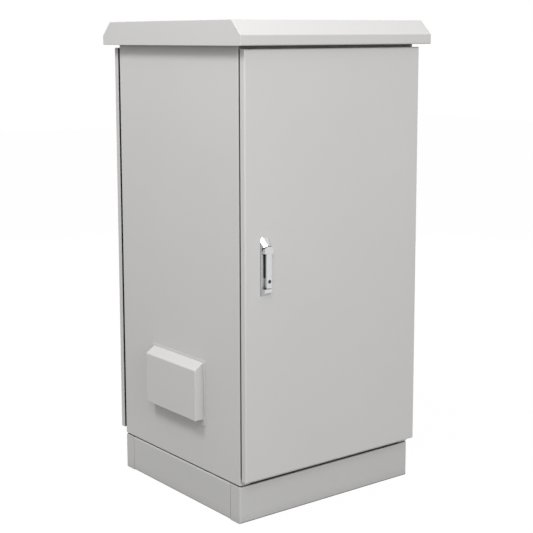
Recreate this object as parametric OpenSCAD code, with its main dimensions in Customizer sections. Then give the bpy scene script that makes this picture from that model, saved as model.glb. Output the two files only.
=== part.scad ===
// Roadside utility cabinet: folded sheet body on a plinth, overlay door, vent hood and canopy roof.
// The origin is on the floor under the middle of the plinth; the door faces -Y and the hood -X.

/* [Cabinet] */
// Width of the body, plinth, door and rear panel
body_w = 600; // [594:1:680]
// Depth of the body and plinth
body_d = 560; // [530:1:680]
// Height from the floor to the top of the canopy
total_h = 1300; // [1150:1:1700]
// Thickness of the body, door, rear panel and canopy sheet
sheet_t = 2; // [1.5:0.1:2.5]
// Outside radius of a bend in that sheet
bend_r = 3.5; // [3:0.1:4.5]
// Width of the flange round the door opening
frame_flange = 32; // [30:1:36]
// Projection of the rain lip at the edge of that flange
rain_lip = 12; // [8:1:14]

/* [Plinth] */
// Height of the plinth
plinth_h = 100; // [80:1:200]
// Thickness of the plinth sheet
plinth_t = 3; // [2:0.5:4]
// Outside radius of a bend in the plinth sheet
plinth_bend_r = 4.5; // [4.5:0.5:6]
// Length of the returns round the corners, and depth of the plinth's flanges
plinth_return = 42; // [40:1:60]
// Open seam between a return and the side panel
plinth_seam = 1; // [0.4:0.1:1.5]
// Thickness of the sealing strip between plinth and body
seal_t = 4; // [3:0.5:6]
// Setback of that strip from the faces of the body
seal_inset = 4; // [3:1:9]
// Distance between the floor anchors, side to side
anchor_pitch_x = 400; // [300:10:440]
// Diameter of a floor anchor hole
anchor_hole_d = 14; // [10:1:18]

/* [Door and rear panel] */
// Depth of the pan's flange
door_depth = 18; // [16:1:24]
// Gap between the pan's edge and the body
door_gap = 8; // [7.6:0.1:10]
// Height of the pan's lower edge above the body's lower edge
door_sill = 14; // [8:1:20]
// Width of the foam seal
gasket_w = 14; // [10:1:16]
// Length of a hinge
hinge_l = 60; // [48:1:90]
// Distance of the outer hinges from the ends of the door
hinge_end = 135; // [90:1:200]
// Diameter of a hinge pin
hinge_pin_d = 4; // [3.5:0.1:4.4]
// Distance of the hinge pin's axis from the side face of the door
hinge_pin_inset = 2.7; // [2.5:0.1:3]

/* [Canopy] */
// Height of the canopy
canopy_h = 64; // [56:1:90]
// Height of its upright rim
canopy_rim = 26; // [18:1:36]
// Horizontal run of its front and rear slopes
canopy_slope = 39; // [25:1:60]
// Overhang past the sides of the body
canopy_side = 25; // [18:1:40]
// Overhang past the front and rear of the body
canopy_end = 45; // [42:1:60]
// Air gap between the upper edge of the door and the eaves
eave_gap = 8; // [6:0.5:15]
// Height of the body inside the canopy
canopy_lap = 14; // [8:1:18]
// Width of the eave's inward return
canopy_lip = 12; // [8:1:14]

/* [Ventilation] */
// Width of the hood
hood_w = 238; // [222:1:260]
// Height of the hood at the wall
hood_h = 157; // [150:1:180]
// Depth of the hood
hood_depth = 28; // [20:1:45]
// Fall of its sloped top
hood_fall = 19; // [10:1:30]
// Thickness of the hood sheet
hood_t = 1.5; // [1:0.1:2]
// Height of the hood's lower edge above the body's lower edge
hood_base = 139; // [125:1:300]
// Width of the air opening in the wall
vent_w = 190; // [160:1:200]
// Height of the air opening in the wall
vent_h = 120; // [118:1:124]
// Side of the square fan
fan_size = 120; // [110:1:124]
// Depth of the fan
fan_depth = 38; // [32:1:40]
// Number of fan blades
fan_blades = 7; // [5:1:9]

/* [Handle] */
// Width of the handle base
handle_w = 30; // [30:0.5:34]
// Height of the handle base
handle_h = 153; // [150:1:160]
// Depth of the handle on the door
handle_depth = 16; // [15.5:0.1:18]
// Distance of the handle's middle from the free edge of the door
handle_inset = 63; // [62:1:90]
// Height of the handle's lower edge above the door's lower edge
handle_base_z = 486; // [400:1:560]
// Distance of the grip's edge on the hinge side from the handle's middle
grip_x = 11; // [10:0.25:12]
// Width of the lever's grip
grip_w = 16.7; // [15:0.1:18]
// Diameter of the key plug
plug_d = 10; // [8:0.5:11]
// Angle that the lever lifts from the base
lever_lift = 25; // [15:1:25]
// Diameter of a latch rod
rod_d = 8; // [6:0.5:9]
// Radius of the cam pins from the spindle
cam_r = 20; // [18:0.5:22]

/* [Rack] */
// Distance of the rails from the side panels: 42.95 in a 600 wide body sets them for 19-inch equipment
rail_gap = 42.95; // [38.95:0.5:60.95]
// Height of one rack unit
rack_unit = 44.45; // [44.45]
// Width of a rail's face
rail_w = 30; // [26:1:34]
// Depth of a rail's side
rail_depth = 30; // [24:1:40]
// Distance of the rail faces from the front and rear of the body
rail_setback = 80; // [70:1:110]

/* [Hidden] */
$fn = 48;

// Colours
paint = [0.78, 0.78, 0.77];
zinc = [0.66, 0.68, 0.70];
chrome = [0.86, 0.87, 0.88];
black_rubber = [0.08, 0.08, 0.08];
black_plastic = [0.13, 0.13, 0.14];
white_felt = [0.90, 0.90, 0.88];
copper = [0.72, 0.45, 0.28];

// Clearances
overrun = 1;
fit = 0.05;
thread_clear = 0.1;
hole_clear = 0.6;
air_gap = 0.3;

// Fasteners, by thread diameter, with heads and nuts as shares of it
m4 = 4;
m5 = 5;
m6 = 6;
m10 = 10;
hex_share = 0.98;
head_share = 0.65;
nut_share = 0.8;
thread_past_nut = 2;

// Body planes
x_out = body_w / 2;
y_out = body_d / 2;
x_in = x_out - sheet_t;
y_in = y_out - sheet_t;
body_z0 = plinth_h + seal_t;
eave_z = total_h - canopy_h;
body_z1 = eave_z + canopy_lap;
body_h = body_z1 - body_z0;
floor_z = body_z0 + sheet_t;
ceiling_z = body_z1 - sheet_t;
open_x = x_out - frame_flange;
door_z1 = eave_z - eave_gap;
open_z0 = body_z0 + frame_flange;
open_z1 = door_z1 - frame_flange;
lip_x = open_x + sheet_t;
lip_y = y_out + rain_lip;
lip_z0 = open_z0 - sheet_t;
lip_z1 = open_z1 + sheet_t;
wing_y = y_in - bend_r;

// Plinth fixings
plinth_row_y = y_out - (plinth_return + plinth_t) / 2;
base_bolt_inset = 40;
base_bolt_x = x_out - base_bolt_inset;
plinth_panel_l = body_d - 2 * plinth_return - 2 * plinth_seam;
plinth_tab_l = 32;
plinth_tab_inset = 14;
plinth_stud_shares = [0.3, 0.7];
plinth_stud_l = plinth_t + nut_share * m6 + thread_past_nut;
seal_past_bolt = 10;
seal_w = y_out - seal_inset - plinth_row_y + seal_past_bolt;

// Cable entry in the floor
entry_w = 320;
entry_d = 120;
entry_lap = 18;
entry_y = 70;
gland_t = 2;
gland_count = 4;
gland_hole_r = 20;
grommet_wall = 4;
grommet_lip = 5;
grommet_bore_r = gland_hole_r - grommet_wall;
gland_pitch = entry_w / gland_count;

// Door and rear pans
door_back_y = y_out + door_gap;
door_front_y = door_back_y + door_depth;
skin_y = door_front_y - sheet_t;
door_z0 = body_z0 + door_sill;
door_h = door_z1 - door_z0;
door_zc = (door_z0 + door_z1) / 2;
lip_mid = sheet_t / 2;
rear_stud_x = (lip_x + x_in) / 2;
rear_stud_end = 80;
rear_stud_zs = [door_z0 + rear_stud_end, door_zc, door_z1 - rear_stud_end];
stud_shoulder_d = 10;
stiffener_x_shares = [-0.1, 0.25];
stiffener_end = 60;
stiffener_w = 30;
stiffener_h = 12;
stiffener_foot = 16;

// Hinges
hinge_x = x_out - hinge_pin_inset;
hinge_y = -(y_out + door_gap / 2);
hinge_zs = [door_z0 + hinge_end, door_zc, door_z1 - hinge_end];
hinge_wall = 1.2;
knuckle_r = hinge_pin_d / 2 + hinge_wall;
knuckle_l = hinge_l / 3;
leaf_t = 2;
leaf_x0 = lip_x + bend_r;
leaf_x1 = hinge_x - knuckle_r - 2 * air_gap;
pin_head_h = 1.5;

// Canopy
canopy_x = x_out + canopy_side;
canopy_y = y_out + canopy_end;
canopy_outline = [
    [canopy_y, 0], [canopy_y, canopy_rim], [canopy_y - canopy_slope, canopy_h],
    [canopy_slope - canopy_y, canopy_h], [-canopy_y, canopy_rim], [-canopy_y, 0]];
bend_steps = 6;
spacer_inset = 100;
spacer_x = x_out - spacer_inset;
spacer_y = y_out - spacer_inset;
spacer_bore_d = 2 * hex_share * m10 + hole_clear;
spacer_wall = 3;
spacer_h = total_h - sheet_t - body_z1;
slot_w = 5;
slot_l = 90;
slot_pitch = 18;
slot_count = 12;
slot_row_y = 90;

// Vent hood and what its studs clamp to the wall
hood_z0 = body_z0 + hood_base;
hood_z1 = hood_z0 + hood_h;
hood_x = x_out + hood_depth;
hood_path = [[-x_out, hood_z1], [-hood_x, hood_z1 - hood_fall], [-hood_x, hood_z0]];
hood_border = 10.5;
hood_border_top = 6;
hood_border_low = 19;
hood_corner_r = 8;
vent_rise = 75;
vent_z = hood_z0 + vent_rise;
vent_stud_y = (hood_w + hood_border) / 2;
vent_stud_z = vent_h / 2;
mesh_t = 1;
mesh_hole_d = 7;
mesh_pitch = 10;
filter_border = 15;
filter_back_t = 4;
mat_t = 12;
filter_w = hood_w + 2 * hood_border;
filter_h = vent_h + 2 * filter_border;
mesh_x = -x_in + mesh_t;
filter_x = mesh_x + mat_t + filter_back_t;
vent_stud_l = hood_t + sheet_t + mesh_t + mat_t + filter_back_t + nut_share * m5 + thread_past_nut;

// Fan, along its own axis from the filter inwards
fan_wall = 3;
fan_bore_r = fan_size / 2 - fan_wall;
fan_corner_r = 6;
fan_hole_inset = 7.5;
fan_hole_p = fan_size / 2 - fan_hole_inset;
fan_tip_gap = 2;
fan_hub_r = 21;
fan_hub_wall = 2;
fan_hub_front = 3;
fan_shaft_d = 5;
fan_bearing_r = 8;
fan_mount_t = 4;
fan_mount_z = fan_depth - fan_mount_t;
fan_strut_w = 6;
blade_t = 1.6;
blade_r = 34;
blade_half_deg = 22;
blade_pitch_deg = 48;
guard_wire_r = 1;
guard_ring_shares = [0.4, 0.6, 0.8, 1];
guard_eye_r = 4.5;

// Rack rails on their brackets
rail_hole = 9.5;
rail_x1 = x_in - rail_gap;
rail_x0 = rail_x1 - rail_w;
rail_y = y_out - rail_setback;
rack_pitch = 2 * rail_x0 + rail_w / 2;
rail_l = ceiling_z - floor_z;
rail_end = 30;
rack_count = floor((rail_l - 2 * rail_end) / rack_unit);
rack_hole_shares = [1 / 7, 1 / 2, 6 / 7];
bracket_drop = 40;
bracket_up = 22;
bracket_past_rail = 40;
bracket_l = 2 * (rail_y + bracket_past_rail);
bracket_low_z = body_z0 + hood_base - hood_border_low - 2 * bracket_up;
bracket_high_z = body_z1 - 2 * bracket_drop;
rail_bolt_y = rail_y - rail_depth / 2;

// Earth bar
earth_l = 260;
earth_w = 20;
earth_t = 5;
earth_post_d = 16;
earth_post_h = 24;
earth_post_x = earth_l / 2 - earth_w;
earth_y = y_in - 2 * earth_w;
earth_hole_pitch = 30;
earth_thread = 12;

// Handle, in its own frame on the door: x across, y up from the spindle, z out of the door
handle_x = handle_inset - x_out;
spindle_up = 113.7;
spindle_z = door_z0 + handle_base_z + spindle_up;
handle_top = handle_h - spindle_up;
handle_half = handle_w / 2;
handle_chamfer = 4.5;
handle_crown = handle_half - handle_chamfer;
handle_edge = 2;
handle_top_slope = 20;
handle_low_slope = 10.6;
handle_side = [[-handle_half, 0], [-handle_half, handle_edge], [-handle_crown, handle_depth]];
side_face = [handle_edge - handle_depth, 0, handle_chamfer];
top_face = [0, handle_depth, handle_top_slope];
hip_face = side_face / norm(side_face) + top_face / norm(top_face);
hip_cut = 4;
rim_t = 5;
lever_r = 16;
lever_gap = 1.8;
lever_low = 92;
head_low = 3;
finger_low = 66;
finger_bevel = 7;
lever_z = rim_t + air_gap;
lever_chamfer = 2;
well_r = lever_r + lever_gap;
spindle_d = 10;
boss_d = 22;
boss_l = 10;
pin_rise = 4.5;
pin_z = rim_t + pin_rise;
pin_d = 3;
eye_r = 3.6;
tongue_w = 6.4;
plug_y = -74.7;
plug_x = grip_x - grip_w / 2;
key_slot_w = 1.2;
key_slot_d = 4;
handle_screw_top_share = 0.72;
handle_screw_low_share = 0.9;
handle_screw_l = 5;
screw_head_h = 2.4;

// Latch behind the door, in the handle's frame
cam_t = 4;
cam_w = 14;
cam_ahead = 1;
cam_z = y_out + cam_ahead - door_front_y - cam_t;
square_w = 7;
cam_pin_d = 6;
cam_deg = 135;
cam_off = cam_r * sin(cam_deg);
cam_slack = 0.8;
rod_x = (cam_r + cam_off) / 2;
rod_behind_flange = 6;
rod_z = y_in - rod_behind_flange - rod_d / 2 - door_front_y;
rod_foot_w = 22;
rod_foot_t = 4;
rod_foot_end = 10;
rod_tip = 4;
rod_short = 1;
upper_reach = open_z1 - rod_short - spindle_z;
lower_reach = spindle_z - open_z0 - rod_short;
guide_w = 14;
guide_l = 12;
guide_back = 3;
guide_shares = [0.45, 0.92];

// Folded sheet sections

// Unit vector from a to b
function heading(a, b) = (b - a) / norm(b - a);
// Normal to the left of a unit vector
function left_of(d) = [-d.y, d.x];
// Turn from heading d to heading e in degrees, positive to the left
function turn(d, e) = atan2(d.x * e.y - d.y * e.x, d * e);
// Radius that the path follows: outside a left turn, inside a right one
function path_radius(a, t, r) = a > 0 ? r : r - t;
// Straight length that the bend at corner i of path p takes from each side
function set_back(p, i, t, r) =
    i == 0 || i == len(p) - 1 ? 0 :
    let (a = turn(heading(p[i - 1], p[i]), heading(p[i], p[i + 1])))
    path_radius(a, t, r) * tan(abs(a) / 2);
// Line at distance d to the left of path p
function beside(p, d) = [
    for (i = [0 : len(p) - 1])
    let (last = len(p) - 1,
        m = left_of(i > 0 ? heading(p[i - 1], p[i]) : heading(p[0], p[1])),
        n = left_of(i < last ? heading(p[i], p[i + 1]) : heading(p[last - 1], p[last])))
    p[i] + d * (m + n) / (1 + m * n)];
// Closed outline p, which turns left, moved in by d and with its corners rounded to radius r
function round_corners(p, d, r) = [
    for (i = [0 : len(p) - 1])
    let (n = len(p),
        in = heading(p[(i + n - 1) % n], p[i]),
        out = heading(p[i], p[(i + 1) % n]),
        a = turn(in, out),
        corner = p[i] + d * (left_of(in) + left_of(out)) / (1 + left_of(in) * left_of(out)),
        centre = corner - r * tan(a / 2) * in + r * left_of(in),
        from = atan2(in.y, in.x) - 90)
    for (k = [0 : bend_steps])
        centre + r * [cos(from + a * k / bend_steps), sin(from + a * k / bend_steps)]];

// Sector of a circle: reach r, from angle a through angle b
module wedge(r, a, b) {
    polygon([[0, 0], for (k = [0 : 2]) 2 * r * [cos(a + b * k / 2), sin(a + b * k / 2)]]);
}

// Section of a sheet of thickness t to the left of path p, each corner bent to outside radius r
module fold(p, t, r) {
    for (i = [0 : len(p) - 2]) {
        d = heading(p[i], p[i + 1]);
        from = p[i] + d * set_back(p, i, t, r);
        to = p[i + 1] - d * set_back(p, i + 1, t, r);
        translate(from) rotate(atan2(d.y, d.x)) square([norm(to - from), t]);
    }
    for (i = [1 : len(p) - 2]) {
        d = heading(p[i - 1], p[i]);
        a = turn(d, heading(p[i], p[i + 1]));
        inner = -sign(a) * left_of(d);
        centre = p[i] - d * set_back(p, i, t, r) - inner * path_radius(a, t, r);
        translate(centre) intersection() {
            difference() {
                circle(r);
                circle(r - t);
            }
            wedge(r, atan2(inner.y, inner.x), a);
        }
    }
}

// Section of a block w wide and d deep with the two corners at its face rounded
module round_face(w, d, r) {
    translate([-w / 2, r]) square([w, d - r]);
    translate([r - w / 2, 0]) square([w - 2 * r, d]);
    for (s = [-1, 1]) translate([s * (w / 2 - r), r]) circle(r);
}

// Block with its face at y = 0 and the four edges of that face rounded
module round_block(w, h, d, r) {
    intersection() {
        translate([0, 0, -h / 2]) linear_extrude(h) round_face(w, d, r);
        along_x(w) mirror([1, -1]) round_face(h, d, r);
    }
}

// Folded pan: face at y = 0, flanges d deep towards +y
module pan(w, h, d, t, r) {
    difference() {
        round_block(w, h, d, r);
        translate([0, t, 0]) round_block(w - 2 * t, h - 2 * t, d, r - t);
    }
}

// Section in (y, z) extruded along x, centred
module along_x(l) {
    rotate([90, 0, 90]) linear_extrude(l, center = true) children();
}

// Section in (x, z) extruded along y, centred
module along_y(l) {
    rotate([90, 0, 0]) linear_extrude(l, center = true) children();
}

// Rectangle with rounded corners, centred
module round_rect(w, h, r) {
    square([w - 2 * r, h], center = true);
    square([w, h - 2 * r], center = true);
    for (x = [-1, 1], y = [-1, 1]) translate([x * (w / 2 - r), y * (h / 2 - r)]) circle(r);
}

// Fasteners along +z: the shank starts at z = 0 and the head lies below it
module hex_bolt(d, l) {
    translate([0, 0, -head_share * d]) cylinder(h = head_share * d, r = hex_share * d, $fn = 6);
    cylinder(h = l, d = d);
}

module hex_nut(d) {
    difference() {
        cylinder(h = nut_share * d, r = hex_share * d, $fn = 6);
        translate([0, 0, -overrun]) cylinder(h = nut_share * d + 2 * overrun, d = d + 2 * thread_clear);
    }
}

// Round hole for thread d through depth l on both sides of z = 0
module hole(d, l) {
    cylinder(h = 2 * (l + overrun), d = d + hole_clear, center = true);
}

module at_corners(x, y) {
    for (sx = [-1, 1], sy = [-1, 1]) translate([sx * x, sy * y, 0]) children();
}

// Plinth

// Studs that hold one end of the plinth to both side panels, pointing inwards
module at_plinth_studs() {
    for (s = [-1, 1], k = plinth_stud_shares)
        translate([s * (x_out - plinth_t), -plinth_row_y, k * plinth_h]) rotate([0, -90 * s, 0]) children();
}

module plinth_end() {
    difference() {
        translate([0, -y_out, plinth_h / 2])
            pan(body_w, plinth_h, plinth_return, plinth_t, plinth_bend_r);
        for (s = [-1, 1]) {
            translate([s * base_bolt_x, -plinth_row_y, plinth_h]) hole(m10, plinth_t);
            translate([s * anchor_pitch_x / 2, -plinth_row_y, 0])
                cylinder(h = 2 * (plinth_t + overrun), d = anchor_hole_d, center = true);
        }
    }
    at_plinth_studs() cylinder(h = plinth_stud_l, d = m6);
}

module plinth_front() {
    color(paint) plinth_end();
}

module plinth_rear() {
    color(paint) rotate(180) plinth_end();
}

// Channel between the corner returns, with a tab welded into each end that lies behind the return
module plinth_side() {
    tab_h = plinth_h - 2 * plinth_tab_inset;
    difference() {
        union() {
            along_y(plinth_panel_l)
                fold([[plinth_return - x_out, plinth_h], [-x_out, plinth_h], [-x_out, 0],
                    [plinth_return - x_out, 0]], plinth_t, plinth_bend_r);
            for (s = [0, 1]) mirror([0, s, 0])
                translate([plinth_t - x_out, plinth_panel_l / 2 - plinth_tab_l, plinth_tab_inset]) {
                    cube([plinth_t, 2 * plinth_tab_l, tab_h]);
                    translate([-plinth_t / 2, 0, 0]) cube([plinth_t, plinth_tab_l - plinth_t, tab_h]);
                }
        }
        for (a = [0, 180]) rotate(a) at_plinth_studs() hole(m6, plinth_t);
    }
}

module plinth_left_panel() {
    color(paint) plinth_side();
}

module plinth_right_panel() {
    color(paint) mirror([1, 0, 0]) plinth_side();
}

module plinth_nuts() {
    color(zinc) for (a = [0, 180]) rotate(a)
        at_plinth_studs() translate([0, 0, plinth_t]) hex_nut(m6);
}

// Foam strip that keeps water out of the joint between plinth and floor
module plinth_seal() {
    seal_x = 2 * (x_out - seal_inset);
    seal_y = 2 * (y_out - seal_inset);
    color(black_rubber) difference() {
        translate([0, 0, plinth_h]) linear_extrude(seal_t) difference() {
            square([seal_x, seal_y], center = true);
            square([seal_x - 2 * seal_w, seal_y - 2 * seal_w], center = true);
        }
        translate([0, 0, plinth_h]) at_corners(base_bolt_x, plinth_row_y) hole(m10, seal_t);
    }
}

module base_bolts() {
    grip = sheet_t + seal_t + plinth_t;
    color(zinc) translate([0, 0, floor_z]) at_corners(base_bolt_x, plinth_row_y)
        rotate([180, 0, 0]) hex_bolt(m10, grip + nut_share * m10 + thread_past_nut);
}

module base_nuts() {
    color(zinc) translate([0, 0, plinth_h - plinth_t - nut_share * m10])
        at_corners(base_bolt_x, plinth_row_y) hex_nut(m10);
}

// Body

// Cross member between the sides: a plate with its front and rear edges folded to flange and lip
module cross_member(z_skin, z_plate, z_lip, up) {
    edge = [[lip_y, z_lip], [y_out, z_lip], [y_out, z_skin]];
    path = concat(edge, [for (i = [2 : -1 : 0]) [-edge[i].x, edge[i].y]]);
    along_x(2 * open_x) fold(up ? [for (i = [5 : -1 : 0]) path[i]] : path, sheet_t, bend_r);
    for (s = [0, 1]) mirror([s, 0, 0])
        translate([open_x, -wing_y, z_plate]) cube([x_in - open_x, 2 * wing_y, sheet_t]);
}

module floor_plate() {
    color(paint) difference() {
        cross_member(body_z0, body_z0, lip_z0, true);
        translate([0, entry_y, body_z0])
            cube([entry_w, entry_d, 2 * (sheet_t + overrun)], center = true);
        translate([0, 0, body_z0]) at_corners(base_bolt_x, plinth_row_y) hole(m10, sheet_t);
        at_gland_screws() hole(m4, sheet_t + gland_t);
        at_earth_posts() hole(m6, sheet_t);
    }
}

module at_glands() {
    for (k = [0 : gland_count - 1])
        translate([(k - (gland_count - 1) / 2) * gland_pitch, entry_y, floor_z]) children();
}

module at_gland_screws() {
    translate([0, entry_y, floor_z + gland_t])
        at_corners((entry_w + entry_lap) / 2, (entry_d + entry_lap) / 2) children();
}

// Removable plate over the cable entry
module gland_plate() {
    color(zinc) difference() {
        translate([0, entry_y, floor_z]) linear_extrude(gland_t)
            square([entry_w + 2 * entry_lap, entry_d + 2 * entry_lap], center = true);
        at_glands() cylinder(h = 2 * (gland_t + overrun), r = gland_hole_r, center = true);
        at_gland_screws() hole(m4, gland_t);
    }
}

module gland_plate_screws() {
    color(zinc) at_gland_screws() rotate([180, 0, 0]) hex_bolt(m4, gland_t + sheet_t + m4);
}

// Rubber ring with a groove that snaps over the edge of its hole
module cable_grommets() {
    color(black_rubber) at_glands() rotate_extrude() {
        translate([grommet_bore_r, -grommet_wall])
            square([gland_hole_r - grommet_bore_r, gland_t + 2 * grommet_wall]);
        for (z = [-grommet_wall, gland_t])
            translate([grommet_bore_r, z]) square([grommet_wall + grommet_lip, grommet_wall]);
    }
}

// Side sheet folded round to the front and rear flanges and their rain lips
module side_sheet() {
    difference() {
        translate([0, 0, body_z0]) linear_extrude(body_h)
            fold([[-lip_x, lip_y], [-lip_x, y_out], [-x_out, y_out], [-x_out, -y_out],
                [-lip_x, -y_out], [-lip_x, -lip_y]], sheet_t, bend_r);
        for (s = [0, 1], z = [[body_z0 - overrun, lip_z0], [lip_z1, body_z1 + overrun]]) mirror([0, s, 0])
            translate([-lip_x - bend_r, y_out, z[0]])
                cube([2 * bend_r + sheet_t, rain_lip + overrun, z[1] - z[0]]);
        at_rear_studs(-1) translate([0, 0, skin_y - y_out]) hole(m6, sheet_t);
    }
}

module left_side_panel() {
    color(paint) difference() {
        side_sheet();
        translate([-x_out, 0, vent_z]) cube([2 * (sheet_t + overrun), vent_w, vent_h], center = true);
        at_vent_studs() hole(m5, hood_t + sheet_t);
    }
}

module right_side_panel() {
    color(paint) mirror([1, 0, 0]) side_sheet();
}

// Ceiling with two rows of air slots under the canopy
module top_plate() {
    color(paint) difference() {
        cross_member(body_z1, ceiling_z, lip_z1, false);
        translate([0, 0, body_z1]) at_corners(spacer_x, spacer_y) hole(m10, sheet_t);
        for (k = [0 : slot_count - 1], s = [-1, 1])
            translate([(k - (slot_count - 1) / 2) * slot_pitch, s * slot_row_y, body_z1])
                cube([slot_w, slot_l, 2 * (sheet_t + overrun)], center = true);
    }
}

// Rear panel studs on side s, pointing from the panel's skin into the cabinet
module at_rear_studs(s) {
    for (z = rear_stud_zs) translate([s * rear_stud_x, skin_y, z]) rotate([90, 0, 0]) children();
}

module rear_panel() {
    stand_off = skin_y - y_out;
    color(paint) {
        rotate(180) translate([0, -door_front_y, door_zc]) pan(body_w, door_h, door_depth, sheet_t, bend_r);
        for (s = [-1, 1]) at_rear_studs(s) {
            cylinder(h = stand_off, d = stud_shoulder_d);
            cylinder(h = stand_off + sheet_t + nut_share * m6 + thread_past_nut, d = m6);
        }
    }
}

module rear_panel_nuts() {
    color(zinc) for (s = [-1, 1]) at_rear_studs(s)
        translate([0, 0, skin_y - y_in]) hex_nut(m6);
}

// Foam seal that follows the rain lip, from the pan's skin towards the body
module lip_gasket(l) {
    w = 2 * (open_x + lip_mid);
    h = open_z1 - open_z0 + 2 * lip_mid;
    translate([0, -skin_y, (open_z0 + open_z1) / 2]) rotate([-90, 0, 0]) linear_extrude(l) difference() {
        square([w + gasket_w, h + gasket_w], center = true);
        square([w - gasket_w, h - gasket_w], center = true);
    }
}

module rear_gasket() {
    color(black_rubber) rotate(180) lip_gasket(skin_y - lip_y);
}

// Roof

// Sheet folded over front and rear, with welded gables and an eave that turns in all round
module roof_canopy() {
    color(paint) translate([0, 0, eave_z]) difference() {
        along_x(2 * canopy_x) polygon(round_corners(canopy_outline, 0, bend_r));
        along_x(2 * (canopy_x - sheet_t)) polygon(round_corners(canopy_outline, sheet_t, bend_r - sheet_t));
        linear_extrude(2 * (sheet_t + overrun), center = true)
            square([2 * (canopy_x - canopy_lip), 2 * (canopy_y - canopy_lip)], center = true);
    }
}

module roof_spacers() {
    color(zinc) translate([0, 0, body_z1]) at_corners(spacer_x, spacer_y) linear_extrude(spacer_h)
        difference() {
            circle(d = spacer_bore_d + 2 * spacer_wall);
            circle(d = spacer_bore_d);
        }
}

module roof_bolts() {
    color(zinc) translate([0, 0, ceiling_z]) at_corners(spacer_x, spacer_y)
        hex_bolt(m10, sheet_t + spacer_h - thread_past_nut);
}

// Nuts welded under the canopy, inside the spacers
module roof_nuts() {
    color(zinc) translate([0, 0, total_h - sheet_t - nut_share * m10])
        at_corners(spacer_x, spacer_y) hex_nut(m10);
}

// Ventilation

// Studs of the hood, pointing through the wall into the cabinet
module at_vent_studs() {
    for (y = [-1, 1], z = [-1, 1])
        translate([-x_out - hood_t, y * vent_stud_y, vent_z + z * vent_stud_z])
            rotate([0, 90, 0]) children();
}

module vent_hood() {
    flange_h = hood_h + hood_border_top + hood_border_low;
    flange_z = hood_z0 - hood_border_low + flange_h / 2;
    color(paint) {
        difference() {
            union() {
                along_y(hood_w) fold(hood_path, hood_t, bend_r);
                for (s = [-1, 1]) translate([0, s * (hood_w - hood_t) / 2, 0]) along_y(hood_t) {
                    fold(hood_path, hood_t, bend_r);
                    polygon(concat(beside(hood_path, hood_t / 2), [[-x_out, hood_z0]]));
                }
            }
            translate([-x_out, -hood_w, hood_z0]) cube([hood_depth, 2 * hood_w, 2 * hood_h]);
        }
        difference() {
            translate([-x_out - hood_t / 2, 0, flange_z]) along_x(hood_t)
                round_rect(hood_w + 2 * hood_border, flange_h, hood_corner_r);
            translate([-x_out, 0, vent_z]) cube([2 * (hood_t + overrun), vent_w, vent_h], center = true);
        }
        at_vent_studs() cylinder(h = vent_stud_l, d = m5);
    }
}

// Perforated sheet against the inside of the wall
module inlet_mesh() {
    columns = floor(vent_w / mesh_pitch) - 1;
    rows = floor(vent_h / mesh_pitch) - 1;
    color(zinc) difference() {
        translate([-x_in + mesh_t / 2, 0, vent_z]) along_x(mesh_t) difference() {
            square([filter_w, filter_h], center = true);
            for (i = [0 : columns], j = [0 : rows])
                translate([(i - columns / 2) * mesh_pitch, (j - rows / 2) * mesh_pitch])
                    circle(d = mesh_hole_d);
        }
        at_vent_studs() hole(m5, vent_stud_l);
    }
}

// Tray that holds the filter mat and carries the fan on its back
module filter_frame() {
    depth = mat_t + filter_back_t;
    color(black_plastic) difference() {
        translate([mesh_x + depth / 2, 0, vent_z]) cube([depth, filter_w, filter_h], center = true);
        translate([mesh_x, 0, vent_z]) cube([2 * mat_t, vent_w, vent_h], center = true);
        in_fan() cylinder(h = 2 * depth, r = fan_bore_r, center = true);
        in_fan() at_corners(fan_hole_p, fan_hole_p)
            cylinder(h = 2 * (filter_back_t - thread_clear), d = m4 + 2 * thread_clear, center = true);
        at_vent_studs() hole(m5, vent_stud_l);
    }
}

module filter_mat() {
    color(white_felt) translate([mesh_x + mat_t / 2, 0, vent_z])
        cube([mat_t, vent_w, vent_h], center = true);
}

module vent_nuts() {
    color(zinc) at_vent_studs()
        translate([0, 0, vent_stud_l - nut_share * m5 - thread_past_nut]) hex_nut(m5);
}

// Fan frame: z runs from the filter into the cabinet
module in_fan() {
    translate([filter_x, 0, vent_z]) rotate([0, 90, 0]) children();
}

module fan_housing() {
    color(black_plastic) in_fan() difference() {
        union() {
            linear_extrude(fan_depth) difference() {
                round_rect(fan_size, fan_size, fan_corner_r);
                circle(fan_bore_r);
            }
            translate([0, 0, fan_mount_z]) cylinder(h = fan_mount_t, r = fan_hub_r);
            for (k = [0 : 3]) rotate(90 * k)
                translate([fan_hub_r - fan_hub_wall, -fan_strut_w / 2, fan_mount_z])
                    cube([fan_bore_r - fan_hub_r + 2 * fan_hub_wall, fan_strut_w, fan_mount_t]);
            translate([0, 0, fan_hub_front + 2 * fan_hub_wall])
                cylinder(h = fan_mount_z - fan_hub_front - 2 * fan_hub_wall, r = fan_bearing_r);
        }
        cylinder(h = fan_mount_z, d = fan_shaft_d + 2 * fit);
        at_corners(fan_hole_p, fan_hole_p) hole(m4, fan_depth);
    }
}

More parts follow.
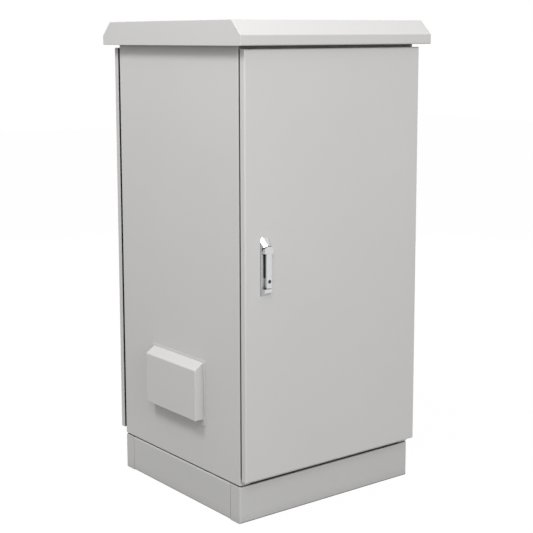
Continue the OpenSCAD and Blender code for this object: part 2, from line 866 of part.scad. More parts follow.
// Hub cup on its shaft with cambered blades, each an arc swept along its radius
module fan_rotor() {
    hub_l = fan_mount_z - 2 * fan_hub_wall;
    blade_l = fan_bore_r - fan_tip_gap;
    color(black_plastic) in_fan() translate([0, 0, fan_hub_wall]) {
        difference() {
            cylinder(h = hub_l, r = fan_hub_r);
            translate([0, 0, fan_hub_front]) cylinder(h = hub_l, r = fan_hub_r - fan_hub_wall);
        }
        cylinder(h = fan_mount_z - 2 * fan_hub_wall, d = fan_shaft_d);
        for (k = [0 : fan_blades - 1]) rotate(360 * k / fan_blades) intersection() {
            translate([blade_l / 2, 0, hub_l / 2]) along_x(blade_l) rotate(blade_pitch_deg)
                translate([0, -blade_r]) intersection() {
                    difference() {
                        circle(blade_r);
                        circle(blade_r - blade_t);
                    }
                    wedge(blade_r, 90 - blade_half_deg, 2 * blade_half_deg);
                }
            difference() {
                cylinder(h = hub_l, r = blade_l);
                translate([0, 0, -overrun]) cylinder(h = 2 * hub_l, r = fan_hub_r - fan_hub_wall / 2);
            }
        }
    }
}

// Wire guard: rings on two diagonals that end in screw eyes
module fan_guard() {
    diagonal = 2 * sqrt(2) * fan_hole_p;
    color(zinc) in_fan() translate([0, 0, fan_depth]) difference() {
        union() {
            for (k = guard_ring_shares) translate([0, 0, guard_wire_r])
                rotate_extrude() translate([k * fan_bore_r, 0]) circle(guard_wire_r);
            for (a = [45, 135]) rotate(a) translate([-diagonal / 2, -guard_wire_r, 0])
                cube([diagonal, 2 * guard_wire_r, 2 * guard_wire_r]);
            at_corners(fan_hole_p, fan_hole_p) cylinder(h = 2 * guard_wire_r, r = guard_eye_r);
        }
        at_corners(fan_hole_p, fan_hole_p) hole(m4, 2 * guard_wire_r);
    }
}

module fan_screws() {
    length = fan_depth + 2 * guard_wire_r + filter_back_t - air_gap - thread_clear;
    color(zinc) in_fan() translate([0, 0, fan_depth + 2 * guard_wire_r])
        at_corners(fan_hole_p, fan_hole_p) rotate([180, 0, 0]) hex_bolt(m4, length);
}

// Rack

// Bracket along the left wall at height z, carrying the front and rear rails
module bracket(z) {
    x_face = -rail_x1 - sheet_t;
    color(zinc) difference() {
        along_y(bracket_l) fold([[-x_in, z + bracket_up], [-x_in, z], [x_face, z],
            [x_face, z - bracket_drop]], sheet_t, bend_r);
        at_rail_bolts(z) hole(m6, 2 * sheet_t);
    }
}

// Bolts of the left rails at the bracket at height z, pointing outwards
module at_rail_bolts(z) {
    for (y = [-1, 1]) translate([sheet_t - rail_x1, y * rail_bolt_y, z - bracket_drop / 2])
        rotate([0, -90, 0]) children();
}

module left_upper_bracket() {
    bracket(bracket_high_z);
}

module left_lower_bracket() {
    bracket(bracket_low_z);
}

module right_upper_bracket() {
    mirror([1, 0, 0]) bracket(bracket_high_z);
}

module right_lower_bracket() {
    mirror([1, 0, 0]) bracket(bracket_low_z);
}

// Left front rail: angle with three square holes in each rack unit
module rail() {
    stub = rail_x1 - 2 * bend_r;
    color(zinc) difference() {
        union() {
            translate([0, 0, floor_z]) linear_extrude(rail_l)
                fold([[-rail_x1, rail_depth - rail_y], [-rail_x1, -rail_y], [-stub, -rail_y]],
                    sheet_t, bend_r);
            translate([0, sheet_t / 2 - rail_y, floor_z]) along_y(sheet_t) difference() {
                translate([-stub, 0]) square([stub - rail_x0, rail_l]);
                for (u = [0 : rack_count - 1], k = rack_hole_shares)
                    translate([-rack_pitch / 2, rail_end + (u + k) * rack_unit])
                        square(rail_hole, center = true);
            }
        }
        for (z = [bracket_low_z, bracket_high_z]) at_rail_bolts(z) hole(m6, sheet_t);
    }
}

module left_front_rail() {
    rail();
}

module right_front_rail() {
    mirror([1, 0, 0]) rail();
}

module left_rear_rail() {
    mirror([0, 1, 0]) rail();
}

module right_rear_rail() {
    mirror([1, 0, 0]) mirror([0, 1, 0]) rail();
}

module rail_bolts() {
    length = 2 * sheet_t + nut_share * m6 + thread_past_nut;
    color(zinc) for (s = [0, 1], z = [bracket_low_z, bracket_high_z]) mirror([s, 0, 0])
        at_rail_bolts(z) hex_bolt(m6, length);
}

module rail_nuts() {
    color(zinc) for (s = [0, 1], z = [bracket_low_z, bracket_high_z]) mirror([s, 0, 0])
        at_rail_bolts(z) translate([0, 0, 2 * sheet_t]) hex_nut(m6);
}

module at_earth_posts() {
    for (s = [-1, 1]) translate([s * earth_post_x, earth_y, floor_z]) children();
}

module earth_bar() {
    holes = floor((2 * earth_post_x - earth_w) / earth_hole_pitch);
    color(copper) translate([0, earth_y, floor_z + earth_post_h]) linear_extrude(earth_t) difference() {
        square([earth_l, earth_w], center = true);
        for (s = [-1, 1]) translate([s * earth_post_x, 0]) circle(d = m6 + hole_clear);
        for (k = [0 : holes - 1])
            translate([(k - (holes - 1) / 2) * earth_hole_pitch, 0]) circle(d = m6 + hole_clear);
    }
}

// Stand-off posts with a thread at each end
module earth_posts() {
    color(zinc) at_earth_posts() difference() {
        cylinder(h = earth_post_h, d = earth_post_d);
        for (z = [0, earth_post_h]) translate([0, 0, z])
            cylinder(h = 2 * (earth_thread - overrun), d = m6 + 2 * thread_clear, center = true);
    }
}

// One screw down through the bar and one up through the floor at each post
module earth_screws() {
    color(zinc) at_earth_posts() {
        translate([0, 0, earth_post_h + earth_t]) rotate([180, 0, 0])
            hex_bolt(m6, earth_t + earth_thread - 2 * overrun);
        translate([0, 0, -sheet_t]) hex_bolt(m6, sheet_t + earth_thread - 2 * overrun);
    }
}

// Door

module at_hinges() {
    for (z = hinge_zs) translate([hinge_x, hinge_y, z]) children();
}

module hinge_bore() {
    cylinder(h = hinge_l + 2 * overrun, d = hinge_pin_d + 2 * fit, center = true);
}

// Leaf on the front flange with the two outer knuckles
module hinge_body_leaves() {
    plate_y = -y_out - leaf_t - hinge_y;
    color(zinc) at_hinges() difference() {
        union() {
            translate([leaf_x0 - hinge_x, plate_y, -hinge_l / 2])
                cube([leaf_x1 - leaf_x0, leaf_t, hinge_l]);
            for (z = [-hinge_l / 2, knuckle_l / 2]) translate([0, 0, z]) {
                cylinder(h = knuckle_l, r = knuckle_r);
                translate([leaf_x1 - hinge_x, plate_y, 0]) cube([hinge_x - leaf_x1, leaf_t, knuckle_l]);
            }
        }
        hinge_bore();
    }
}

module hinge_pins() {
    color(zinc) at_hinges() {
        cylinder(h = hinge_l, d = hinge_pin_d, center = true);
        for (s = [-1, 1]) translate([0, 0, s * (hinge_l + pin_head_h) / 2])
            cylinder(h = pin_head_h, r = knuckle_r, center = true);
    }
}

// Leaf inside the door's flange with the middle knuckle
module hinge_door_leaves() {
    middle_l = knuckle_l - 2 * air_gap;
    plate_x = x_in - leaf_t - hinge_x;
    plate_l = skin_y - bend_r - door_back_y;
    color(zinc) at_hinges() difference() {
        union() {
            translate([plate_x, -door_back_y - plate_l - hinge_y, -hinge_l / 2])
                cube([leaf_t, plate_l, hinge_l]);
            translate([plate_x, -door_back_y - hinge_y, -middle_l / 2])
                cube([leaf_t, door_gap / 2, middle_l]);
            cylinder(h = middle_l, r = knuckle_r, center = true);
        }
        hinge_bore();
    }
}

// Frame of the handle on the door's face
module on_door() {
    translate([handle_x, -door_front_y, spindle_z]) rotate([90, 0, 0]) children();
}

module at_handle_screws() {
    for (y = [handle_screw_top_share * handle_top, -handle_screw_low_share * spindle_up])
        translate([0, y, 0]) children();
}

module front_door() {
    color(paint) difference() {
        translate([0, -door_front_y, door_zc]) pan(body_w, door_h, door_depth, sheet_t, bend_r);
        on_door() {
            hole(boss_d, sheet_t);
            at_handle_screws() hole(m4, sheet_t);
        }
    }
}

module door_gasket() {
    color(black_rubber) lip_gasket(skin_y - lip_y - air_gap);
}

// Two upright hat sections welded inside the door
module door_stiffeners() {
    half = stiffener_w / 2;
    color(paint) for (k = stiffener_x_shares)
        translate([k * body_w, -skin_y, door_z0 + stiffener_end])
            linear_extrude(door_h - 2 * stiffener_end)
                fold([[-half - stiffener_foot, 0], [-half, 0], [-half, stiffener_h], [half, stiffener_h],
                    [half, 0], [half + stiffener_foot, 0]], sheet_t, bend_r);
}

// Bevels along the two upper hips of the base
module hip_bevels() {
    for (s = [0, 1]) mirror([s, 0, 0])
        translate([-handle_crown, handle_top - handle_top_slope, handle_depth])
            rotate([0, acos(hip_face.z / norm(hip_face)), atan2(hip_face.y, hip_face.x)])
                translate([-handle_w, -handle_w, -hip_cut]) cube([2 * handle_w, 2 * handle_w, handle_w]);
}

// Die-cast base: a hipped block cut back to a rim under the lever and beside its grip
module handle_base() {
    cut_w = handle_w + 2 * overrun;
    cut_l = lever_low + lever_gap;
    far_side = [for (i = [2 : -1 : 0]) [-handle_side[i].x, handle_side[i].y]];
    color(chrome) on_door() difference() {
        union() {
            intersection() {
                translate([0, handle_top - handle_h / 2, 0]) along_y(handle_h)
                    polygon(concat(handle_side, far_side));
                along_x(handle_w)
                    polygon([[-spindle_up, 0], [handle_low_slope - spindle_up, handle_depth],
                        [handle_top - handle_top_slope, handle_depth], [handle_top, 0]]);
            }
            translate([0, 0, -boss_l]) cylinder(h = boss_l + rim_t, d = boss_d);
        }
        translate([0, 0, -boss_l - overrun])
            cylinder(h = boss_l + handle_depth + 2 * overrun, d = spindle_d + 2 * fit);
        translate([0, 0, rim_t]) {
            cylinder(h = handle_depth, r = well_r);
            translate([-cut_w / 2, -cut_l, 0]) cube([cut_w, cut_l, handle_depth]);
        }
        hip_bevels();
        at_handle_screws()
            cylinder(h = 2 * (handle_screw_l + overrun), d = m4 + 2 * thread_clear, center = true);
    }
}

module handle_screws() {
    color(zinc) on_door() at_handle_screws() translate([0, 0, -sheet_t]) {
        translate([0, 0, -screw_head_h]) cylinder(h = screw_head_h, d = 2 * m4);
        cylinder(h = sheet_t + handle_screw_l, d = m4);
    }
}

// Shaft through the base with a tongue for the lever and a square for the cam
module handle_spindle() {
    color(zinc) on_door() difference() {
        union() {
            translate([0, 0, cam_z + cam_t]) cylinder(h = rim_t - cam_z - cam_t, d = spindle_d);
            translate([-square_w / 2, -square_w / 2, cam_z]) cube([square_w, square_w, cam_t]);
            translate([-tongue_w / 2, -eye_r, rim_t]) cube([tongue_w, 2 * eye_r, pin_z - rim_t]);
            translate([0, 0, pin_z]) rotate([0, 90, 0]) cylinder(h = tongue_w, r = eye_r, center = true);
        }
        translate([0, 0, pin_z]) rotate([0, 90, 0])
            cylinder(h = 2 * tongue_w, d = pin_d + 2 * fit, center = true);
    }
}

// Lever: round head as wide as the base, narrow grip with a bevel for the fingers along its back,
// and a back relieved so that the head clears when lifted
module handle_lever() {
    grip_left = grip_x - grip_w;
    slot_w = tongue_w + 2 * air_gap;
    slot_r = eye_r + air_gap;
    color(chrome) on_door() difference() {
        intersection() {
            translate([0, 0, lever_z]) linear_extrude(handle_depth) {
                intersection() {
                    circle(lever_r);
                    translate([-lever_r, -head_low]) square(2 * lever_r);
                }
                translate([grip_left, -lever_low]) square([grip_w, lever_low]);
            }
            along_y(2 * (lever_low + overrun))
                polygon(concat(handle_side, [[handle_half, handle_depth], [handle_half, 0]]));
        }
        for (x = [grip_left, grip_x]) translate([x, -head_low - lever_low / 2, handle_depth])
            rotate([0, 45, 0]) cube([lever_chamfer, lever_low, lever_chamfer], center = true);
        translate([grip_left, -(head_low + finger_low) / 2, lever_z])
            rotate([0, 45, 0]) cube([finger_bevel, finger_low - head_low, finger_bevel], center = true);
        translate([-slot_w / 2, -slot_r, 0]) cube([slot_w, lever_r + slot_r + overrun, pin_z + slot_r]);
        translate([0, 0, pin_z]) rotate([lever_lift, 0, 0])
            translate([-handle_w, -2 * eye_r, -handle_depth - (pin_z - lever_z)])
                cube([2 * handle_w, 2 * lever_r, handle_depth]);
        translate([-grip_x - air_gap, 0, pin_z]) rotate([0, 90, 0])
            cylinder(h = grip_x + air_gap + handle_w, d = pin_d + 2 * fit);
        translate([plug_x, plug_y, 0]) cylinder(h = 2 * handle_depth, d = plug_d + 2 * fit);
    }
}

module lever_pin() {
    color(zinc) on_door() translate([0, 0, pin_z]) rotate([0, 90, 0])
        cylinder(h = 2 * grip_x, d = pin_d, center = true);
}

module lock_plug() {
    color(chrome) on_door() translate([plug_x, plug_y, lever_z]) difference() {
        cylinder(h = handle_depth - lever_z, d = plug_d);
        translate([-key_slot_w / 2, -plug_d / 4, handle_depth - lever_z - key_slot_d])
            cube([key_slot_w, plug_d / 2, key_slot_d + overrun]);
    }
}

// Bar on the spindle's square with a pin at each end for the rods
module latch_cam() {
    square_hole = square_w + 2 * thread_clear;
    color(zinc) on_door() difference() {
        rotate(cam_deg) {
            translate([0, 0, cam_z]) linear_extrude(cam_t) {
                square([2 * cam_r, cam_w], center = true);
                for (s = [-1, 1]) translate([s * cam_r, 0]) circle(d = cam_w);
            }
            for (s = [-1, 1]) translate([s * cam_r, 0, rod_z - rod_d / 2])
                cylinder(h = cam_z - rod_z + rod_d / 2, d = cam_pin_d);
        }
        translate([0, 0, cam_z + cam_t / 2])
            cube([square_hole, square_hole, cam_t + 2 * overrun], center = true);
    }
}

// Round rod with a slotted foot over its cam pin, pointing up to a tip at height l above the spindle
module rod(l) {
    slot_x0 = -cam_r - cam_pin_d / 2 - cam_slack;
    slot_x1 = -cam_off + cam_pin_d / 2 + cam_slack;
    slot_h = cam_pin_d + 2 * cam_slack;
    foot_z = rod_z - rod_foot_t / 2;
    difference() {
        union() {
            translate([-rod_x - rod_foot_w / 2, cam_off - rod_foot_end, foot_z])
                cube([rod_foot_w, 2 * rod_foot_end, rod_foot_t]);
            translate([-rod_x, cam_off + slot_h, rod_z]) rotate([-90, 0, 0]) {
                cylinder(h = l - cam_off - slot_h - rod_tip, d = rod_d);
                translate([0, 0, l - cam_off - slot_h - rod_tip])
                    cylinder(h = rod_tip, d1 = rod_d, d2 = rod_d / 2);
            }
        }
        translate([slot_x0, cam_off - slot_h / 2, foot_z - overrun])
            cube([slot_x1 - slot_x0, slot_h, rod_foot_t + 2 * overrun]);
    }
}

module upper_rod() {
    color(zinc) on_door() rod(upper_reach);
}

module lower_rod() {
    color(zinc) on_door() rotate(180) rod(lower_reach);
}

// Posts on the door's skin that the rods slide in
module rod_guides() {
    post_l = -rod_z + rod_d / 2 + guide_back - sheet_t;
    color(zinc) on_door() for (a = [0, 180], k = guide_shares) {
        reach = a == 0 ? upper_reach : lower_reach;
        rotate(a) translate([-rod_x, k * reach, 0]) difference() {
            translate([-guide_w / 2, -guide_l / 2, -sheet_t - post_l]) cube([guide_w, guide_l, post_l]);
            translate([0, 0, rod_z]) rotate([90, 0, 0])
                cylinder(h = guide_l + 2 * overrun, d = rod_d + 2 * fit, center = true);
        }
    }
}

plinth_front();
plinth_rear();
plinth_left_panel();
plinth_right_panel();
plinth_nuts();
plinth_seal();
base_bolts();
base_nuts();
floor_plate();
gland_plate();
gland_plate_screws();
cable_grommets();
left_side_panel();
right_side_panel();
top_plate();
rear_panel();
rear_gasket();
rear_panel_nuts();
roof_canopy();
roof_spacers();
roof_bolts();
roof_nuts();
vent_hood();
inlet_mesh();
filter_frame();
filter_mat();
vent_nuts();
fan_housing();
fan_rotor();
fan_guard();
fan_screws();
left_upper_bracket();
left_lower_bracket();
right_upper_bracket();
right_lower_bracket();
left_front_rail();
right_front_rail();
left_rear_rail();
right_rear_rail();
rail_bolts();
rail_nuts();
earth_bar();
earth_posts();
earth_screws();
hinge_body_leaves();
hinge_pins();
hinge_door_leaves();
front_door();
door_gasket();
door_stiffeners();
handle_base();
handle_screws();
handle_spindle();
handle_lever();
lever_pin();
lock_plug();
latch_cam();
upper_rod();
lower_rod();
rod_guides();
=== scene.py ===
import math

import bpy
import numpy as np
from mathutils import Matrix, Vector


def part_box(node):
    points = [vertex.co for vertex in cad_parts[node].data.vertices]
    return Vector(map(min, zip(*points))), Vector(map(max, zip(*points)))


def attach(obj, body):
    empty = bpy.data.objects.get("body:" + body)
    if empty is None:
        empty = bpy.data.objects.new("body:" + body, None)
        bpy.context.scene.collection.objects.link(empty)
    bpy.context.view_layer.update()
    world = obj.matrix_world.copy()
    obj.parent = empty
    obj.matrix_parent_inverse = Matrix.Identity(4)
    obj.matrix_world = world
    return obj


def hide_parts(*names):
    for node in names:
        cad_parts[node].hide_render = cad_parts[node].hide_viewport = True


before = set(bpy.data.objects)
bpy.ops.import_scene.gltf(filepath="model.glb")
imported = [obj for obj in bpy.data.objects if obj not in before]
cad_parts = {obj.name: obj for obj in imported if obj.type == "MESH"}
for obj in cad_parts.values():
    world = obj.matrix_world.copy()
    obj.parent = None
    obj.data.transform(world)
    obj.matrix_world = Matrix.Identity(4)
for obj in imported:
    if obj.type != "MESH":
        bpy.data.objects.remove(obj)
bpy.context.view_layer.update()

# Plinth: two pans of 3 mm steel with corner returns and two channel sections between them,
# bolted together at the seams. Powder-coated before assembly in the cabinet's grey, made 7% darker
# as painted shade.


class Shade:
    """A socket in a node tree: arithmetic on it adds Math nodes, and node() adds any other node."""

    def __init__(self, tree, socket=None):
        self.tree = tree
        self.socket = socket

    def node(self, kind, settings, inputs, output=0):
        """Adds a node, sets its settings, then values or links of sockets, and wraps an output."""
        made = self.tree.nodes.new("ShaderNode" + kind)
        for name, value in settings.items():
            setattr(made, name, value)
        for name, value in inputs.items():
            if isinstance(value, Shade):
                self.tree.links.new(value.socket, made.inputs[name])
            else:
                made.inputs[name].default_value = value
        return Shade(self.tree, made.outputs[output])

    def __add__(self, other):
        return self.node("Math", {"operation": "ADD"}, {0: self, 1: other})

    def __sub__(self, other):
        return self.node("Math", {"operation": "SUBTRACT"}, {0: self, 1: other})

    def __rsub__(self, other):
        return self.node("Math", {"operation": "SUBTRACT"}, {0: other, 1: self})

    def __mul__(self, other):
        return self.node("Math", {"operation": "MULTIPLY"}, {0: self, 1: other})

    __radd__ = __add__
    __rmul__ = __mul__


def finish(name):
    """A new material, its Principled shader and the Object coordinates as a Shade."""
    made = bpy.data.materials.new(name)
    made.use_nodes = True
    tree = made.node_tree
    where = Shade(tree).node("TexCoord", {}, {}, "Object")
    return made, tree.nodes["Principled BSDF"], where


def feed(shader, **sockets):
    """Sets constants on the shader's own sockets and links Shades; _ in a name is a space."""
    for name, value in sockets.items():
        socket = shader.inputs[name.replace("_", " ")]
        if isinstance(value, Shade):
            value.tree.links.new(value.socket, socket)
        else:
            socket.default_value = value


def noise(where, scale, detail):
    """Noise around zero with features 1/scale metres across, and this many octaves of detail."""
    return where.node("TexNoise", {}, {"Vector": where, "Scale": scale, "Detail": detail}) - 0.5


def around(colour, darker, lighter):
    """The dark and the light end of a paint's shade, as shares of its colour."""
    return [tuple(channel * share for channel in colour) for share in (darker, lighter)]


def tone(where, share, dark, light):
    """Colour between two paints by a share from 0 to 1."""
    factor, first, second, result = 0, 6, 7, 2  # the Mix node's sockets for colours
    paints = {factor: share, first: (*dark, 1), second: (*light, 1)}
    return where.node("Mix", {"data_type": "RGBA"}, paints, result)


def scaled(where, colour, share):
    """Colour made darker or lighter by a share that varies over the surface."""
    return where.node("VectorMath", {"operation": "SCALE"}, {0: colour, "Scale": share})


def soft_edge(where, radius):
    """Normal with the edges rounded over a radius."""
    return where.node("Bevel", {"samples": 6}, {"Radius": radius})


def lean_of(where, rounded):
    """How far a rounded normal leans from the flat one: 1 less their dot product."""
    flat = where.node("NewGeometry", {}, {}, "Normal")
    both = {0: rounded, 1: flat}
    return 1 - where.node("VectorMath", {"operation": "DOT_PRODUCT"}, both, "Value")


def shade_in_gaps(where, reach, shut, free, least):
    """Share of a colour that paints shade: 1 in the open, falling to least where surfaces within
    reach leave a narrow gap.

    The open share of the half space over a spot is smooth-stepped: least up to shut, 1 from free.
    """
    room = where.node("AmbientOcclusion", {"samples": 8}, {"Distance": reach}, "AO")
    limits = {"From Min": shut, "From Max": free, "To Min": least, "To Max": 1.0}
    return where.node("MapRange", {"interpolation_type": "SMOOTHSTEP"}, {"Value": room, **limits})


def bump(where, height, strength, depth, **under):
    """Normal of a surface that rises by depth metres as height goes from 0 to 1.

    Normal= gives the normal to start from, where that isn't the surface's own.
    """
    sockets = {"Height": height, "Strength": strength, "Distance": depth, **under}
    return where.node("Bump", {}, sockets)


def powder_coat(name, shade):
    """Sprayed and baked polyester: orange peel and faint cloudiness, with a painted highlight on
    bends and painted shade in gaps.
    """
    made, shader, where = finish(name)
    rounded = soft_edge(where, radius=0.0022)
    lean = lean_of(where, rounded)
    gap_shade = shade_in_gaps(where, reach=0.06, shut=0.3, free=0.57, least=0.15)
    cloud = noise(where, scale=2.6, detail=3)
    speck = noise(where, scale=900, detail=1)
    peel = noise(where, scale=330, detail=2)
    grain = noise(where, scale=1500, detail=2)
    # Colour share: random cloudiness and specks, plus a painted highlight on bends.
    pale = 0.5 + 1.1 * cloud + 0.5 * speck + 1.4 * lean
    coat = tone(where, pale, *around(shade, darker=0.965, lighter=1.03))
    texture = 0.75 * peel + 0.25 * grain
    # Base colour made lighter on bends as a painted highlight and darker in narrow gaps as painted
    # shade.
    feed(shader, Base_Color=scaled(where, coat, (1 + 1.6 * lean) * gap_shade), IOR=1.5,
         Roughness=0.42 + 0.10 * cloud + 0.12 * grain,
         Normal=bump(where, texture, strength=0.35, depth=0.00012, Normal=rounded))
    return made


def paint(material, *names):
    """Gives CAD nodes their material."""
    for name in names:
        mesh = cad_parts[name].data
        mesh.materials.clear()
        mesh.materials.append(material)


# Painted shade: the cabinet's grey made 7% darker, for the dimmer light near the floor.
plinth_shaded_coat = powder_coat("plinth_painted_shade_coat", (0.545, 0.541, 0.531))
paint(plinth_shaded_coat, "plinth_front", "plinth_rear", "plinth_left_panel", "plinth_right_panel")

# Plinth fixings: M6 nuts on weld studs and M10 bolts with nuts through the floor of the cabinet.
# Turned steel with bright zinc plating, tightened from inside the plinth.


def stretched(where, scale, turn=(0, 0, 0)):
    """Coordinates for a pattern that is drawn out along the axes with a scale under 1."""
    return where.node("Mapping", {}, {"Vector": where, "Scale": scale, "Rotation": turn})


def cells(where, scale):
    """Distance from the nearest of scattered points, for cells about 1/scale metres across."""
    return where.node("TexVoronoi", {}, {"Vector": where, "Scale": scale})


def zinc_plate(name, streak):
    """Bright zinc: crystals a few mm wide that differ in gloss, and marks drawn out by rolling."""
    made, shader, where = finish(name)
    rounded = soft_edge(where, radius=0.0005)
    draw = noise(stretched(where, streak), scale=420, detail=3)
    crystal = cells(where, scale=210) - 0.3
    bloom = noise(where, scale=24, detail=3)
    # The lean term makes the colour lighter along rounded edges: a painted highlight.
    share = 0.55 + 0.5 * draw + 0.35 * crystal + 0.8 * bloom + 0.8 * lean_of(where, rounded)
    dull, bright = (0.40, 0.415, 0.44), (0.66, 0.675, 0.69)
    feed(shader, Base_Color=tone(where, share, dull, bright), Metallic=1.0,
         Roughness=0.34 + 0.22 * draw + 0.30 * bloom,
         Normal=bump(where, draw, strength=0.3, depth=0.00006, Normal=rounded))
    return made


turned_zinc = zinc_plate("zinc_fasteners", (1, 1, 1))
paint(turned_zinc, "plinth_nuts", "base_bolts", "base_nuts")

# Sealing strip between plinth and cabinet: closed-cell foam rubber, die-cut to a frame,
# squeezed to 4 mm by the base bolts.


def foam_rubber(name, cell_scale):
    """Black foam: small closed cells that pit the skin, with a bloom of grey dust."""
    made, shader, where = finish(name)
    dust = noise(where, scale=45, detail=3)
    black, dusty = (0.011, 0.011, 0.012), (0.034, 0.034, 0.035)
    feed(shader, Base_Color=tone(where, 0.4 + 1.2 * dust, black, dusty),
         Roughness=0.82 + 0.2 * dust,
         Normal=bump(where, cells(where, cell_scale), strength=0.5, depth=0.0003))
    return made


foam = foam_rubber("foam_rubber", cell_scale=900)
paint(foam, "plinth_seal")

# Floor of the cabinet and its cable entry: the coated floor plate, a zinc-plated gland plate
# screwed over its cut-out, and four moulded rubber grommets snapped into the plate.
grey_coat = powder_coat("grey_powder_coat", (0.585, 0.580, 0.570))
rolled_zinc = zinc_plate("zinc_sheet", (0.12, 1, 1))
moulded_rubber = foam_rubber("moulded_rubber", cell_scale=2600)
paint(grey_coat, "floor_plate")
paint(rolled_zinc, "gland_plate")
paint(turned_zinc, "gland_plate_screws")
paint(moulded_rubber, "cable_grommets")

# Body: two folded side panels and a slotted top plate of 2 mm sheet, welded into a box
# with a flange and a rain lip round the front and rear openings, then powder-coated.
paint(grey_coat, "left_side_panel", "right_side_panel", "top_plate")

# Rear panel: a folded pan on six weld studs, drawn against a foam bead by nuts inside the cabinet.
# The bead is poured onto the pan and cures with a round crown, where the rain lip leaves a groove.


def smooth_piece(name, points, quads, material):
    """A smooth-shaded mesh of quads, in its place, in the scene."""
    mesh = bpy.data.meshes.new(name)
    mesh.from_pydata(points, [], quads)
    mesh.polygons.foreach_set("use_smooth", np.ones(len(quads), bool))
    mesh.materials.append(material)
    piece = bpy.data.objects.new(name, mesh)
    bpy.context.scene.collection.objects.link(piece)
    return piece


def loft(rings):
    """Quads that join the neighbours in a grid of points [along, across] that closes both ways.

    They face outwards where the volume inside, a . (b x c + c x d) summed over the quads abcd,
    is positive, and are turned round where it isn't.
    """
    place = np.arange(rings[..., 0].size).reshape(rings.shape[:2])
    after = np.roll(place, -1, 0)
    quads = np.stack([place, after, np.roll(after, -1, 1), np.roll(place, -1, 1)], -1)
    quads = quads.reshape(-1, 4)
    a, b, c, d = rings.reshape(-1, 3)[quads].transpose(1, 0, 2)
    volume = np.einsum("ij,ij->", a, np.cross(b, c) + np.cross(c, d))
    return quads if volume > 0 else quads[:, ::-1]


def foam_bead(name, node, side):
    """Bead round an opening: a profile carried along a rounded rectangle in x and z.

    Profile at angle a from 0 to pi: across = w cos(a)^0.7 and height = h sin(a)^0.55, less a
    groove g exp(-(across / b)^2) along the crown. Path: each corner of the rectangle is a quarter
    circle of radius r, and straight sides join the quarters. The panel that carries the bead is
    at its lowest y where side is -1, and at its highest where side is 1.
    """
    width, groove, bite = 0.0068, 0.0011, 0.0016
    flank_power, crown_power = 0.7, 0.55
    inset, radius = 0.007, 0.016
    profile_points, corner_points = 25, 10
    low, high = [np.array(corner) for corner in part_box(node)]
    angle = np.linspace(0, np.pi, profile_points)
    across = width * np.sign(np.cos(angle)) * np.abs(np.cos(angle)) ** flank_power
    rise = (high[1] - low[1]) * np.sin(angle).clip(0) ** crown_power
    rise -= groove * np.exp(-(across / bite) ** 2)
    middle = (low + high)[[0, 2]] / 2
    half = (high - low)[[0, 2]] / 2 - inset - radius
    turn = np.linspace(0, 2 * np.pi, 4 * corner_points, endpoint=False)
    turn += np.pi / (4 * corner_points)
    outward = np.stack([np.cos(turn), np.sin(turn)], -1)
    path = middle + np.sign(outward) * half + radius * outward
    plan = path[:, None] + across[None, :, None] * outward[:, None]
    depth = low[1] + rise if side < 0 else high[1] - rise
    rings = np.stack([plan[..., 0], np.broadcast_to(depth, plan.shape[:2]), plan[..., 1]], -1)
    piece = smooth_piece(name, rings.reshape(-1, 3), loft(rings), foam)
    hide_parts(node)
    return piece


paint(grey_coat, "rear_panel")
paint(turned_zinc, "rear_panel_nuts")
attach(foam_bead("rear_foam_bead", "rear_gasket", 1), "cabinet")

# Roof: a canopy folded over front and rear with welded gables, powder-coated, standing on four
# zinc-plated tubes and bolted from inside, so that air can leave under its eaves.
paint(grey_coat, "roof_canopy")
paint(rolled_zinc, "roof_spacers")
paint(turned_zinc, "roof_bolts", "roof_nuts")

# Air inlet: a coated hood over the wall opening, a punched zinc mesh against insects, a moulded
# frame with a fleece filter, all clamped by the hood's studs, and an axial fan with a wire guard.


def moulded_plastic(name, colour):
    """Glass-filled plastic: spark-eroded grain and faint flow marks."""
    made, shader, where = finish(name)
    rounded = soft_edge(where, radius=0.0006)
    grain = noise(where, scale=1900, detail=2)
    flow = noise(where, scale=30, detail=3)
    # The lean term makes the colour lighter along rounded edges: a painted highlight.
    share = 0.5 + 0.9 * flow + 0.5 * lean_of(where, rounded)
    feed(shader, Base_Color=tone(where, share, *around(colour, darker=0.75, lighter=1.35)),
         Roughness=0.52 + 0.2 * flow + 0.15 * grain,
         Normal=bump(where, grain, strength=0.4, depth=0.00008, Normal=rounded))
    return made


def fleece(name):
    """Thermally bonded polyester fibre: tangled strands, dull, with air between them."""
    made, shader, where = finish(name)
    slant = stretched(where, (1, 0.16, 1), turn=(0.5, 0, 0))
    cross = stretched(where, (1, 1, 0.16), turn=(-0.3, 0, 0))
    strand = noise(slant, scale=1500, detail=2) + noise(cross, scale=1500, detail=2)
    dust = noise(where, scale=35, detail=3)
    grey, white = (0.42, 0.42, 0.39), (0.80, 0.80, 0.77)
    feed(shader, Base_Color=tone(where, 0.55 + 0.9 * strand + 0.8 * dust, grey, white),
         Roughness=0.95, Sheen_Weight=0.4,
         Normal=bump(where, strand, strength=0.8, depth=0.0006))
    return made


def sheet_quads(place):
    """Quads that join the neighbours in an open grid of point numbers."""
    corners = [place[:-1, :-1], place[1:, :-1], place[1:, 1:], place[:-1, 1:]]
    return np.stack(corners, -1).reshape(-1, 4)


